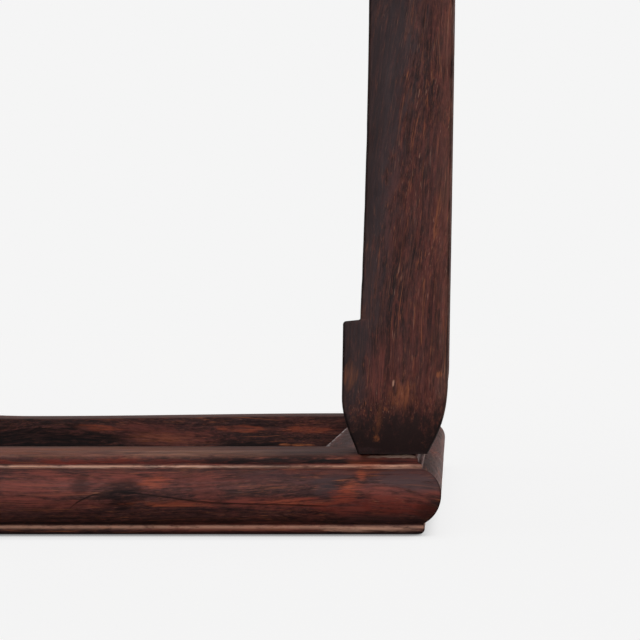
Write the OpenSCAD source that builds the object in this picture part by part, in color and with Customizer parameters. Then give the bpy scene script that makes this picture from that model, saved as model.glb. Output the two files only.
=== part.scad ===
// Square hardwood plant stand: a framed floating panel on a waisted body, with four
// slightly splayed legs whose spurred feet stand on a continuous floor frame.
// The origin is on the floor under the middle of the stand, Z is up and -Y is the front.

/* [Overall] */
// Width and depth of the top, across its edge moulding
top_w = 480; // [450:1:560]
// Height of the stand, from the floor to the rim of the top
stand_h = 900; // [700:1:1100]
// Width and depth of the floor frame, across its bullnose
base_w = 440; // [415:1:480]

/* [Floor frame] */
// Height of a floor rail at its crown
base_h = 41; // [37:0.5:56]
// Width of a floor rail, from the bullnose to its inner face
base_rail_w = 63; // [57:0.5:80]
// Height of the plinth moulding that stands on the floor
plinth_h = 5.2; // [4.5:0.1:8]
// How far the plinth stands back from the bullnose
plinth_in = 8.4; // [6:0.1:10]
// Radius of the plinth's lower edge
plinth_r = 3.2; // [2:0.1:3.3]

/* [Top frame] */
// Thickness of a top rail
top_h = 34; // [32:0.5:44]
// Width of a top rail, from the bullnose to its inner face
top_rail_w = 78; // [72:0.5:95]
// Thickness of the floating panel
panel_t = 12; // [10:0.5:15]
// Depth of the battens' lower faces above the rails' lower faces
batten_up = 3; // [1:0.5:4]
// How far the panel's face lies below the rim
panel_drop = 1; // [0.5:0.1:2]
// Reach of the panel's tongue into the rails
panel_tongue = 7; // [5:0.5:9]
// Thickness of the panel's tongue
tongue_t = 6; // [4:0.5:7]
// Gap round the panel's face and at its tongue's tip, for the wood's movement
panel_gap = 0.6; // [0.3:0.1:0.9]
// Width of a batten under the panel
batten_w = 24; // [18:1:34]
// Distance of each batten from the middle
batten_x = 80; // [50:1:110]
// Height of the dovetail that holds a batten in the panel
dovetail_h = 4; // [3:0.5:6]

/* [Shared moulding] */
// Inset of the bead from the bullnose
bead_in = 9.6; // [8.5:0.1:12]
// Radius of the bead
bead_r = 1.15; // [0.8:0.05:1.6]
// Distance from the bead's outer edge to the arris of the crown behind it
quirk_w = 2.9; // [2.5:0.1:3.5]
// Height of the shadow gap between the plinth and the bullnose
nose_gap = 0.7; // [0.4:0.1:1]
// Radius of small eased edges
ease_r = 0.8; // [0.5:0.1:1]
// Height of the crown above the middle of the bead
crown_rise = 6.2; // [5.5:0.1:8]
// Width of the slope from the arris behind the bead to the flat of the crown
crown_slope = 9; // [6:0.5:12]

/* [Legs] */
// Width of the foot at its widest
foot_w = 53; // [49:0.1:60]
// Width of the foot where it meets the floor frame
sole_w = 34.9; // [30:0.1:40]
// How far the foot's outer face stands proud of the bullnose
foot_proud = 3.3; // [1:0.1:6]
// Height of the foot, from the floor frame to the top of the spur
foot_h = 67; // [55:0.5:85]
// How far the spur stands out from the shaft
spur_out = 8.6; // [5:0.1:12]
// How far the spur's tip leans back towards the shaft
spur_lean = 0.6; // [0:0.1:1.5]
// Radius of the spur's corner
spur_r = 1.8; // [1:0.1:3]
// Radius of the hollow between spur and shaft
hollow_r = 1; // [0.5:0.1:2]
// Width of the shaft at its narrowest
shaft_w = 43; // [38:0.1:48]
// Width of the leg at the shoulder
shoulder_w = 57; // [53:0.5:64]
// Radius of the curve from the leg into the apron
corner_r = 36; // [20:1:50]

/* [Apron and waist] */
// Overhang of the top past the shoulders
top_overhang = 9; // [5:0.5:12]
// Thickness of an apron
apron_t = 22; // [20:0.5:26]
// How far the middle of an apron hangs below its ends
apron_drop = 8; // [4:0.5:14]
// Height of the waist
waist_h = 30; // [20:1:45]
// Thickness of a waist strip
waist_t = 10; // [8:0.5:12]
// How far the waist stands back from the aprons
waist_in = 12; // [11:0.5:13]
// Height of the tongues on a waist strip's two long edges
waist_tongue = 4; // [3:0.5:6]

/* [Joints] */
// Side and depth of the tenon under a foot
foot_tenon = 16; // [10:0.5:18]
// Height of the tenons on top of a leg
head_tenon_h = 15; // [10:0.5:17]
// Thickness of the mitre tenons in the floor frame
base_tenon_t = 12; // [8:0.5:13]
// Thickness of the mitre tenons in the top frame
top_tenon_t = 8; // [6:0.5:9]
// How far those tenons stand back from the aprons' inner faces
top_tenon_in = 4; // [3:0.5:5]
// How far a pin of the top stands back from the aprons' inner faces, on its near and on its far side
top_pin_near = 3; // [2:0.5:4]
top_pin_far = 12; // [10:0.5:13]
// Depth of the dovetail keys that hang the aprons
key_depth = 8; // [6:0.5:10]
// Width of those keys at their wide edge
key_w = 10; // [8:0.5:12]
// Wood left in an apron over its keys, up to the waist's tongue
key_stop = 2; // [1:0.5:4]
// Depth of a batten's tenons
batten_tenon = 10; // [6:0.5:14]
// Diameter of a bamboo pin
pin_d = 5; // [3:0.5:6]
// Gap on each side of a tenon, key, tongue or pin
fit = 0.1; // [0.05:0.05:0.2]

/* [Hidden] */
$fn = 48;
ROSEWOOD = [0.27, 0.14, 0.10];
DARK_ROSEWOOD = [0.19, 0.10, 0.09];
BAMBOO = [0.62, 0.48, 0.28];
// A cut runs this far past the faces that it opens
over = 1;
// Wood left between a rail's inner face and its mitre joint
cheek = 12;
// Wood left between a rail's outer face and the tip of the mitre tenon
end_cheek = 16;
// How far a pin stops short of the face that it was driven from, and runs past its tenon
pin_short = 0.3;
pin_past = 2;
// The foot is drawn in a little more outside than inside
toe_share = 0.555;
// Height of the shaft's narrowest place, as a share of the way from the spur to the apron
waist_share = 0.27;
// Height of the bullnose's furthest point, as a share of the bullnose
nose_share = 0.56;

base_half = base_w / 2;
top_half = top_w / 2;
top_in = top_half - top_rail_w;
top_z = stand_h - top_h;
waist_z = top_z - waist_h;
panel_z = stand_h - panel_drop - panel_t;
batten_z = top_z + batten_up;

shoulder_half = top_half - top_overhang;
shoulder_in = shoulder_half - shoulder_w;
apron_back = shoulder_half - apron_t;
waist_half = shoulder_half - waist_in;
waist_back = waist_half - waist_t;
// The mitre between leg and apron runs at 45 degrees down from the shoulder's top corner
apron_z = waist_z - shoulder_w;
curve_z = apron_z - corner_r;

foot_out = base_half + foot_proud;
foot_in = foot_out - foot_w;
sole_out = foot_out - toe_share * (foot_w - sole_w);
sole_in = sole_out - sole_w;
sole_mid = (sole_out + sole_in) / 2;
spur_z = base_h + foot_h;
spur_edge = foot_in + spur_lean;
ankle_in = spur_edge + spur_out;
waistline = spur_z + waist_share * (apron_z - spur_z);
// At its narrowest, the shaft's outer face is taken midway between foot and shoulder
shaft_in = (foot_out + shoulder_half) / 2 - shaft_w;

base_tenon_z = (base_h - foot_tenon - base_tenon_t) / 2;
top_tenon_z = (top_z + head_tenon_h + stand_h - top_tenon_t) / 2;
// The square head of a leg, behind the aprons, is laid out in thirds
head_third = (apron_back - shoulder_in) / 3;
key_x = shoulder_in + head_third * 1.5;

// Points of an arc of radius r round c, from angle a to angle b, in n steps
function arc(c, r, a, b, n) =
    [for (i = [0:n]) c + r * [cos(a + (b - a) * i / n), sin(a + (b - a) * i / n)]];

// Points of a cubic curve from p[0] towards p[3], in n steps, without its last point
function curve(p, n) =
    [for (i = [0:n - 1])
        let (t = i / n, s = 1 - t)
        s * s * s * p[0] + 3 * s * s * t * p[1] + 3 * s * t * t * p[2] + t * t * t * p[3]];

// A block between two corners, grown by g on every side
module block(low, high, g = 0) {
    translate(low - [g, g, g])
        cube(high - low + 2 * [g, g, g]);
}

// The children and their mirror image on the left
module left_and_right() {
    children();
    mirror([1, 0, 0]) children();
}

// The children and their mirror image at the back
module front_and_back() {
    children();
    mirror([0, 1, 0]) children();
}

// The children and their mirror image across the diagonal of the front right corner
module both_faces() {
    children();
    mirror([1, 1, 0]) children();
}

// Turns a front piece to another side: 1 is right, 2 is back, 3 is left
module side(k) {
    rotate([0, 0, 90 * k]) children();
}

// Stands an outline drawn in X and Z on the front, from far behind y = 0 to near
module upright(far, near) {
    translate([0, -near, 0])
        rotate([90, 0, 0])
            linear_extrude(far - near) children();
}

// Runs a section drawn in Y and Z along X, half either way
module run_along(half) {
    rotate([90, 0, 90])
        translate([0, 0, -half])
            linear_extrude(2 * half) children();
}

// The front quarter of the plan, between its two diagonals
module front_quarter() {
    linear_extrude(stand_h)
        polygon([[0, 0], [top_w, -top_w], [-top_w, -top_w]]);
}

// Section of a moulded rail: x is the distance in from the bullnose and y the height.
// From the floor up it has the plinth, the bullnose, the bead, a quirk and the crown.
module rail_section(w, h) {
    bead_z = h - crown_rise;
    nose_low = plinth_h + nose_gap;
    nose_top = bead_z - bead_r;
    nose_z = nose_low + nose_share * (nose_top - nose_low);
    // The lower arc starts square at the bullnose and ends over the plinth
    drop = nose_z - nose_low;
    belly_r = (drop * drop + plinth_in * plinth_in) / (2 * plinth_in);
    // The upper arc ends under the bead
    brow_r = nose_top - nose_z;
    brow_end = 180 - acos(1 - min(bead_in / brow_r, 1));
    arris = bead_in + quirk_w;
    crown_in = arris + crown_slope;
    polygon(concat(
        [[w, 0]],
        arc([plinth_in + plinth_r, plinth_r], plinth_r, 270, 180, 6),
        arc([plinth_in + ease_r, plinth_h - ease_r], ease_r, 180, 90, 4),
        [[plinth_in + 2 * nose_gap, plinth_h + nose_gap / 2]],
        arc([belly_r, nose_z], belly_r, 180 + asin(drop / belly_r), 180, 10),
        arc([brow_r, nose_z], brow_r, 172, brow_end, 10),
        arc([bead_in + bead_r, bead_z], bead_r, 225, 80, 8),
        [[arris - 0.3 * quirk_w, bead_z + 1.2 * bead_r]],
        curve([[arris - 0.15 * quirk_w, h - 0.42 * crown_rise], [arris + 0.1 * quirk_w, h - 0.15 * crown_rise],
            [arris + 0.7 * quirk_w, h - 0.08 * crown_rise], [crown_in, h]], 6),
        [[crown_in, h]],
        arc([w - ease_r, h - ease_r], ease_r, 90, 0, 3)));
}

// The front rail of a mitred frame that reaches half either side of the middle
module mitred_rail(half, w, h) {
    intersection() {
        run_along(half)
            translate([-half, 0]) rail_section(w, h);
        front_quarter();
    }
}

// Mitre tenon of a front rail at its right end, between near and far from the middle
module mitre_tenon(near, far, tip, z, t, g) {
    block([near - over, -far, z], [tip, -near, z + t], g);
}

module base_tenon(g = 0) {
    mitre_tenon(base_half - base_rail_w + cheek, sole_mid, base_half - end_cheek,
        base_tenon_z, base_tenon_t, g);
}

module top_tenon(g = 0) {
    mitre_tenon(top_in + cheek, apron_back - top_tenon_in, top_half - end_cheek,
        top_tenon_z, top_tenon_t, g);
}

// Pin through the mitre tenon of the front right corner, driven up from below.
// Its hole is the same shape, grown by g and begun below the rail.
module base_pin(low = pin_short, g = 0) {
    near = base_half - base_rail_w + cheek;
    translate([base_half - 1.5 * end_cheek, -(near + sole_mid) / 2, low])
        cylinder(h = base_tenon_z + base_tenon_t + pin_past - low + g, d = pin_d + 2 * g);
}

// The top's pin stands over the leg's head, between its tenon and the corner
module top_pin(low = top_z + pin_short, g = 0) {
    translate([apron_back - top_pin_near, -(apron_back - top_pin_far), low])
        cylinder(h = top_tenon_z + top_tenon_t + pin_past - low + g, d = pin_d + 2 * g);
}

// Tenon under the foot of the front right leg, which locks the mitre of the floor frame
module sole_tenon(g = 0) {
    r = foot_tenon / 2;
    block([sole_mid - r, -sole_mid - r, base_h - foot_tenon],
        [sole_mid + r, -sole_mid + r, base_h + over], g);
}

// Tenon on the head of the front right leg, into the front rail of the top
module head_tenon(g = 0) {
    block([shoulder_in + 0.4 * head_third, -apron_back + 0.35 * head_third, top_z - over],
        [shoulder_in + 1.4 * head_third, -apron_back + 1.35 * head_third, top_z + head_tenon_h], g);
}

// Upright dovetail key on the front of the front right leg's head, which the apron slides onto
module apron_key(g = 0) {
    w = key_w / 2;
    translate([key_x, -apron_back, apron_z])
        linear_extrude(waist_z - apron_z - waist_tongue - key_stop + g)
            polygon([[-0.7 * w - g, over], [-w - g, -key_depth - g], [w + g, -key_depth - g], [0.7 * w + g, over]]);
}

// Section of the front waist strip's tongues, in Y and Z
module waist_tongues(g = 0) {
    translate([-waist_back - 0.7 * waist_t - g, waist_z - waist_tongue - g])
        square([0.4 * waist_t + 2 * g, waist_h + 2 * waist_tongue + 2 * g]);
}

// Dovetail on top of the right batten, reach either way from the middle
module batten_key(reach, g = 0) {
    root = 0.29 * batten_w + g;
    crest = 0.38 * batten_w + g;
    upright(reach, -reach)
        polygon([[batten_x - root, panel_z - over], [batten_x - root, panel_z],
            [batten_x - crest, panel_z + dovetail_h + g], [batten_x + crest, panel_z + dovetail_h + g],
            [batten_x + root, panel_z], [batten_x + root, panel_z - over]]);
}

// Tenons at both ends of the right batten
module batten_tenons(g = 0) {
    block([batten_x - batten_w / 4, -top_in - batten_tenon, batten_z + 0.25 * (panel_z - batten_z)],
        [batten_x + batten_w / 4, top_in + batten_tenon, batten_z + 0.75 * (panel_z - batten_z)], g);
}

// Groove for the panel's tongue, all round the opening of the top
module panel_groove() {
    r = top_in + panel_tongue + panel_gap;
    block([-r, -r, panel_z - fit], [r, r, panel_z + tongue_t + fit]);
}

// Outline of a leg's front face, in X and Z, from the sole up its outer edge and down its inner edge
module leg_outline() {
    swell = foot_out - sole_out;
    hollow = sole_in - foot_in;
    ankle_z = base_h + 0.55 * foot_h;
    rise = curve_z - ankle_z;
    lean = shoulder_half - foot_out;
    upper = curve_z - waistline;
    lower = waistline - spur_z;
    polygon(concat(
        curve([[sole_out, base_h], [sole_out + 0.65 * swell, base_h + 0.18 * foot_h],
            [foot_out, base_h + 0.33 * foot_h], [foot_out, ankle_z]], 12),
        curve([[foot_out, ankle_z], [foot_out + 0.68 * lean, ankle_z + 0.45 * rise],
            [shoulder_half, ankle_z + 0.7 * rise], [shoulder_half, curve_z]], 16),
        [[shoulder_half, curve_z], [shoulder_half, waist_z], [shoulder_in, waist_z]],
        curve([[shoulder_in, curve_z], [shoulder_in, curve_z - 0.35 * upper],
            [shaft_in, waistline + 0.33 * upper], [shaft_in, waistline]], 16),
        curve([[shaft_in, waistline], [shaft_in, waistline - 0.33 * lower],
            [(shaft_in + ankle_in) / 2, spur_z + 0.28 * lower], [ankle_in, spur_z + 1.6 * hollow_r]], 8),
        arc([ankle_in - hollow_r, spur_z + 1.6 * hollow_r], hollow_r, 0, -80, 3),
        arc([spur_edge + spur_r, spur_z - spur_r], spur_r, 95, 180, 5),
        curve([[foot_in, base_h + 0.46 * foot_h], [foot_in, base_h + 0.27 * foot_h],
            [sole_in - 0.42 * hollow, base_h + 0.12 * foot_h], [sole_in, base_h]], 12),
        [[sole_in, base_h]]));
}

// Outline of an apron's front face: mitred ends, round corners and a drop in the middle
module apron_outline() {
    corner = shoulder_in - corner_r;
    lower = concat(
        [[shoulder_half, waist_z]],
        arc([corner, curve_z], corner_r, 45, 90, 6),
        curve([[corner, apron_z], [0.64 * corner, apron_z],
            [0.34 * corner, apron_z - apron_drop], [0, apron_z - apron_drop]], 12));
    polygon(concat(lower, [[0, apron_z - apron_drop]],
        [for (i = [len(lower) - 1:-1:0]) [-lower[i][0], lower[i][1]]]));
}

// What the front apron's end takes out of the front right leg
module shoulder_cut() {
    upright(shoulder_half + over, apron_back)
        polygon([[shoulder_in - over, apron_z - over], [shoulder_half + over, waist_z + over],
            [shoulder_in - over, waist_z + over]]);
}

// The leg's share of the round corner under the front apron
module corner_wing() {
    upright(shoulder_half, apron_back)
        polygon(concat(arc([shoulder_in - corner_r, curve_z], corner_r, 0, 45, 6),
            [[shoulder_in + over, apron_z + over], [shoulder_in + over, curve_z]]));
}

// The front right leg: the same outline on both faces, with its head and tenons
module leg() {
    color(ROSEWOOD)
    union() {
        difference() {
            intersection() {
                upright(top_w, 0) leg_outline();
                mirror([1, 1, 0]) upright(top_w, 0) leg_outline();
            }
            both_faces() shoulder_cut();
        }
        both_faces() {
            corner_wing();
            apron_key();
            head_tenon();
        }
        block([shoulder_in, -waist_back, waist_z], [waist_back, -shoulder_in, top_z]);
        sole_tenon();
    }
}

// Front or back rail of the floor frame, with a tenon at each end
module base_rail_tenoned() {
    color(ROSEWOOD)
    difference() {
        union() {
            mitred_rail(base_half, base_rail_w, base_h);
            left_and_right() base_tenon();
        }
        left_and_right() {
            sole_tenon(fit);
            base_pin(-over, fit);
        }
    }
}

// Right or left rail of the floor frame, with a mortise at each end
module base_rail_mortised() {
    color(ROSEWOOD)
    difference() {
        side(1) mitred_rail(base_half, base_rail_w, base_h);
        front_and_back() {
            base_tenon(fit);
            sole_tenon(fit);
            base_pin(-over, fit);
        }
    }
}

module base_pins() {
    color(BAMBOO)
    left_and_right() front_and_back() base_pin();
}

module apron() {
    color(ROSEWOOD)
    difference() {
        intersection() {
            upright(shoulder_half, apron_back) apron_outline();
            front_quarter();
        }
        left_and_right() apron_key(fit);
        run_along(top_half) waist_tongues(fit);
    }
}

module waist() {
    color(DARK_ROSEWOOD)
    intersection() {
        run_along(waist_half) {
            translate([-waist_half, waist_z]) square([waist_t, waist_h]);
            waist_tongues();
        }
        front_quarter();
    }
}

// A front rail of the top before its joints are cut
module top_rail_blank() {
    difference() {
        translate([0, 0, top_z]) mitred_rail(top_half, top_rail_w, top_h);
        run_along(top_half) waist_tongues(fit);
        panel_groove();
    }
}

// Front or back rail of the top, with a tenon at each end and mortises for the battens
module top_rail_tenoned() {
    color(ROSEWOOD)
    difference() {
        union() {
            top_rail_blank();
            left_and_right() top_tenon();
        }
        left_and_right() {
            head_tenon(fit);
            top_pin(top_z - over, fit);
            batten_tenons(fit);
        }
    }
}

// Right or left rail of the top, with a mortise at each end
module top_rail_mortised() {
    color(ROSEWOOD)
    difference() {
        side(1) top_rail_blank();
        front_and_back() {
            top_tenon(fit);
            mirror([1, 1, 0]) head_tenon(fit);
            top_pin(top_z - over, fit);
        }
    }
}

module top_pins() {
    color(BAMBOO)
    left_and_right() front_and_back() top_pin();
}

// Floating panel: its face fills the opening and its tongue runs in the rails' groove
module top_panel() {
    face = top_in - panel_gap;
    edge = top_in + panel_tongue;
    color(DARK_ROSEWOOD)
    difference() {
        union() {
            block([-face, -face, panel_z], [face, face, stand_h - panel_drop]);
            block([-edge, -edge, panel_z], [edge, edge, panel_z + tongue_t]);
        }
        left_and_right() batten_key(edge + over, fit);
    }
}

module batten() {
    color(ROSEWOOD)
    union() {
        block([batten_x - batten_w / 2, -top_in, batten_z], [batten_x + batten_w / 2, top_in, panel_z]);
        batten_key(top_in);
        batten_tenons();
    }
}

base_rail_tenoned();  // base_rail_front
side(2) base_rail_tenoned();  // base_rail_back
base_rail_mortised();  // base_rail_right
side(2) base_rail_mortised();  // base_rail_left
base_pins();
leg();  // leg_front_right
side(1) leg();  // leg_back_right
side(2) leg();  // leg_back_left
side(3) leg();  // leg_front_left
apron();  // apron_front
side(1) apron();  // apron_right
side(2) apron();  // apron_back
side(3) apron();  // apron_left
waist();  // waist_front
side(1) waist();  // waist_right
side(2) waist();  // waist_back
side(3) waist();  // waist_left
top_rail_tenoned();  // top_rail_front
side(2) top_rail_tenoned();  // top_rail_back
top_rail_mortised();  // top_rail_right
side(2) top_rail_mortised();  // top_rail_left
top_pins();
top_panel();
batten();  // batten_right
side(2) batten();  // batten_left
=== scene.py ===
"""Looks of a square rosewood plant stand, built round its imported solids. Lengths here are in millimetres
until mesh_object() turns them into metres. A front piece faces -Y, and the others are turned copies."""

import math

import bmesh
import bpy
import numpy as np
from mathutils import Matrix, Vector, noise


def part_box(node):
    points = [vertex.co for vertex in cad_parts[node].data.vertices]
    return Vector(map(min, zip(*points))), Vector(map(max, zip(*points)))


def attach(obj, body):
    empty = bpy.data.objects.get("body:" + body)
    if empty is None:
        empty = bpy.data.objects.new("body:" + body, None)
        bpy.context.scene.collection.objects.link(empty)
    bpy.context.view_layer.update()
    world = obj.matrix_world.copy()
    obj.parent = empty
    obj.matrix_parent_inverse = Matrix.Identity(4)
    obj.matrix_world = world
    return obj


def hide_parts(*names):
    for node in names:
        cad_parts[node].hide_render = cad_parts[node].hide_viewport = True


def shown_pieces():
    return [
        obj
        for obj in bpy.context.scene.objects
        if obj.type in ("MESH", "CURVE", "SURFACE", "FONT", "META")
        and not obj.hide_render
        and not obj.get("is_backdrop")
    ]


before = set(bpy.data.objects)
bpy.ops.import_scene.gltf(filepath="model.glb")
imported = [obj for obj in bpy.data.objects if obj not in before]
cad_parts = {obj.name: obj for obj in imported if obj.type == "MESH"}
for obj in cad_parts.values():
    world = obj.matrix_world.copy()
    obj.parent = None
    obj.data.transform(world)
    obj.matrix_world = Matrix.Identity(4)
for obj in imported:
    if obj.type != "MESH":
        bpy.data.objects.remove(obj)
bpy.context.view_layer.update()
MM = 0.001

SIDES = ("front", "right", "back", "left")
LEGS = ("front_right", "back_right", "back_left", "front_left")


def node_box(node):
    """Lowest and highest corner of a CAD node, in millimetres."""
    low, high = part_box(node)
    return low / MM, high / MM


# The sizes that the solids give
base_high = node_box("base_rail_front")[1]
top_low, top_high = node_box("top_rail_front")
leg_high = node_box("leg_front_right")[1]
apron_low, apron_high = node_box("apron_front")
waist_low, waist_high = node_box("waist_front")
panel_low, panel_high = node_box("top_panel")
BASE_HALF = base_high.x
BASE_H = base_high.z
BASE_RAIL_W = BASE_HALF + base_high.y
TOP_HALF = top_high.x
TOP_Z = top_low.z
STAND_H = top_high.z
TOP_RAIL_W = TOP_HALF + top_high.y

# The moulding that the floor frame and the top share
PLINTH_H = 5.2
PLINTH_IN = 8.4
PLINTH_R = 3.2
PLINTH_TOP_R = 0.8
NOSE_GAP = 0.7
NOSE_SHARE = 0.56
BEAD_IN = 9.6
BEAD_R = 1.15
QUIRK_W = 2.9
CROWN_RISE = 6.2
CROWN_SLOPE = 9
EDGE_R = 1
RAIL_STEP = 2.5

# The legs. Both shares are parts of a whole: how much of its taper the foot takes on its outer side, and
# how far up between spur and apron the leg is thinnest
FOOT_W = 53
SOLE_W = 35.85
TOE_SHARE = 0.586
WAIST_SHARE = 0.27
FOOT_PROUD = 3.3
FOOT_H = 67
SPUR_OUT = 8.6
SPUR_LEAN = 0.6
SPUR_R = 1.8
HOLLOW_R = 1
SHAFT_W = 43
SHOULDER_W = 57
CORNER_R = 36
TIP_BACK = 0.6
APRON_DROP = 8
APRON_T = apron_high.y - apron_low.y
SHOULDER_HALF = leg_high.x
SHOULDER_IN = SHOULDER_HALF - SHOULDER_W
APRON_BACK = SHOULDER_HALF - APRON_T
WAIST_Z = apron_high.z
APRON_Z = WAIST_Z - SHOULDER_W
CURVE_Z = APRON_Z - CORNER_R
FOOT_OUT = BASE_HALF + FOOT_PROUD
FOOT_IN = FOOT_OUT - FOOT_W
SOLE_OUT = FOOT_OUT - TOE_SHARE * (FOOT_W - SOLE_W)
SOLE_IN = SOLE_OUT - SOLE_W
SPUR_Z = BASE_H + FOOT_H
SPUR_EDGE = FOOT_IN + SPUR_LEAN
ANKLE_IN = SPUR_EDGE + SPUR_OUT
WAISTLINE = SPUR_Z + WAIST_SHARE * (APRON_Z - SPUR_Z)
SHAFT_IN = (FOOT_OUT + SHOULDER_HALF) / 2 - SHAFT_W

# Radius of a leg's arrises, of those beside an apron, and of the one at its back
LEG_EASE = 1.5
JOINT_EASE = 0.25
BACK_EASE = 0.6

# The sole's eased edge, as how far in and up it runs, and where the foot's curves start above the rail
SOLE_EDGE_IN = 0.3
SOLE_EDGE_UP = 0.25
FOOT_START = 0.6

# How many rings a leg has up to its spur and above it, how far below the aprons' corners its faces stay
# true, and how far its head reaches below the shoulder
FOOT_RINGS = 36
LEG_RINGS = 190
TRUE_RUN = 60
HEAD_DROP = 8

# The rear rail's top has sunk a little: middle, reach to either side and depth, on the front piece
HOLLOWS = {"base_rail_back": (92, 242, 78, 2.1)}

# Room round the panel's face, and at the ends and on top of the battens
PANEL_GAP = 0.6
BATTEN_GAP = 0.2
BATTEN_TOP_GAP = 0.1


# Outlines

def arc(centre, r, a, b, n):
    """Points of an arc of radius r round centre, from angle a to angle b in degrees."""
    angles = np.radians(np.linspace(a, b, n + 1))
    return [(centre[0] + r * math.cos(t), centre[1] + r * math.sin(t)) for t in angles]


def curve(p, n):
    """Points of a cubic curve from p[0] to p[3]."""
    t = np.linspace(0, 1, n + 1)[:, None]
    p = np.array(p, float)
    s = 1 - t
    return [tuple(q) for q in s**3 * p[0] + 3 * s * s * t * p[1] + 3 * s * t * t * p[2] + t**3 * p[3]]


def line(a, b, n):
    """Points of a straight line."""
    return [(a[0] + (b[0] - a[0]) * i / n, a[1] + (b[1] - a[1]) * i / n) for i in range(n + 1)]


def joined(*stretches):
    """One outline from several stretches, without the points that two of them share."""
    points = []
    for stretch in stretches:
        for p in stretch:
            if not points or math.dist(points[-1], p) > 0.02:
                points.append(p)
    return np.array(points)


def rail_section(w, h):
    """Section of a moulded rail, as distance in from the bullnose and height.
    Also returns spots lightened by use, which on the bead and plinth are also painted highlights,
    and spots darkened as painted shade, as place in, height, reach and strength."""
    bead_z = h - CROWN_RISE
    nose_low = PLINTH_H + NOSE_GAP
    nose_top = bead_z - BEAD_R
    nose_z = nose_low + NOSE_SHARE * (nose_top - nose_low)
    drop = nose_z - nose_low
    belly_r = (drop * drop + PLINTH_IN * PLINTH_IN) / (2 * PLINTH_IN)
    belly_start = 180 + math.degrees(math.asin(drop / belly_r))
    brow_r = nose_top - nose_z
    brow_end = 180 - math.degrees(math.acos(1 - min(BEAD_IN / brow_r, 1)))
    arris = BEAD_IN + QUIRK_W
    crown_in = arris + CROWN_SLOPE
    points = joined(
        line((w - EDGE_R, 0), (PLINTH_IN + PLINTH_R, 0), 4),
        arc((PLINTH_IN + PLINTH_R, PLINTH_R), PLINTH_R, 270, 180, 10),
        line((PLINTH_IN, PLINTH_R), (PLINTH_IN, PLINTH_H - PLINTH_TOP_R), 4),
        arc((PLINTH_IN + PLINTH_TOP_R, PLINTH_H - PLINTH_TOP_R), PLINTH_TOP_R, 180, 90, 5),
        [(PLINTH_IN + 0.9 * NOSE_GAP, PLINTH_H + NOSE_GAP / 2)],
        arc((belly_r, nose_z), belly_r, belly_start, 180, 18),
        arc((brow_r, nose_z), brow_r, 180, brow_end, 18),
        arc((BEAD_IN + BEAD_R, bead_z), BEAD_R, 225, 80, 9),
        [(arris - 0.3 * QUIRK_W, bead_z + 1.2 * BEAD_R),
         (arris - 0.2 * QUIRK_W, h - 0.55 * CROWN_RISE)],
        curve([(arris - 0.15 * QUIRK_W, h - 0.42 * CROWN_RISE),
               (arris + 0.1 * QUIRK_W, h - 0.15 * CROWN_RISE),
               (arris + 0.7 * QUIRK_W, h - 0.08 * CROWN_RISE), (crown_in, h)], 10),
        line((crown_in, h), (w - EDGE_R, h), 10),
        arc((w - EDGE_R, h - EDGE_R), EDGE_R, 90, 0, 4),
        line((w, h - EDGE_R), (w, EDGE_R), 8),
        arc((w - EDGE_R, EDGE_R), EDGE_R, 0, -90, 4)[:-1])
    # Lighter spots: use on the crown's arris, and use on the bead and plinth that also paints their
    # highlights
    worn_and_highlit = [(BEAD_IN + 0.1, bead_z - 0.29, 0.5, 1.0),
            (arris + 0.6, h - 0.9, 1.3, 0.11),
            (PLINTH_IN, PLINTH_H - 1.15, 0.9, 0.5)]
    # Darker spots are painted shade: in the quirk, under the bead, in the gap over the plinth, at the
    # plinth's foot, low on the nose and over the back of the top
    grimy_and_shaded = [(arris - 0.9, bead_z + BEAD_R + 0.4, 1.3, 0.45),
             (BEAD_IN + 0.8, bead_z - BEAD_R - 0.4, 0.7, 0.7),
             (PLINTH_IN + 1.4, PLINTH_H + 0.9, 1.5, 0.4),
             (PLINTH_IN + 1.2, 0.4, 2.2, 0.9),
             (PLINTH_IN - 3, PLINTH_H + 2.5, 3, 0.2),
             (w, h, 12, 0.4)]
    return points, worn_and_highlit, grimy_and_shaded


def outer_edge():
    """The leg's outer edge, as distance from the middle by height."""
    swell = FOOT_OUT - SOLE_OUT
    ankle_z = BASE_H + 0.55 * FOOT_H
    rise = CURVE_Z - ankle_z
    lean = SHOULDER_HALF - FOOT_OUT
    return joined(
        [(SOLE_OUT - SOLE_EDGE_IN, BASE_H), (SOLE_OUT, BASE_H + SOLE_EDGE_UP)],
        curve([(SOLE_OUT, BASE_H + FOOT_START), (SOLE_OUT + 0.65 * swell, BASE_H + 0.18 * FOOT_H),
               (FOOT_OUT, BASE_H + 0.33 * FOOT_H), (FOOT_OUT, ankle_z)], 24),
        curve([(FOOT_OUT, ankle_z), (FOOT_OUT + 0.68 * lean, ankle_z + 0.45 * rise),
               (SHOULDER_HALF, ankle_z + 0.7 * rise), (SHOULDER_HALF, CURVE_Z)], 40),
        [(SHOULDER_HALF, WAIST_Z)])


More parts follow.
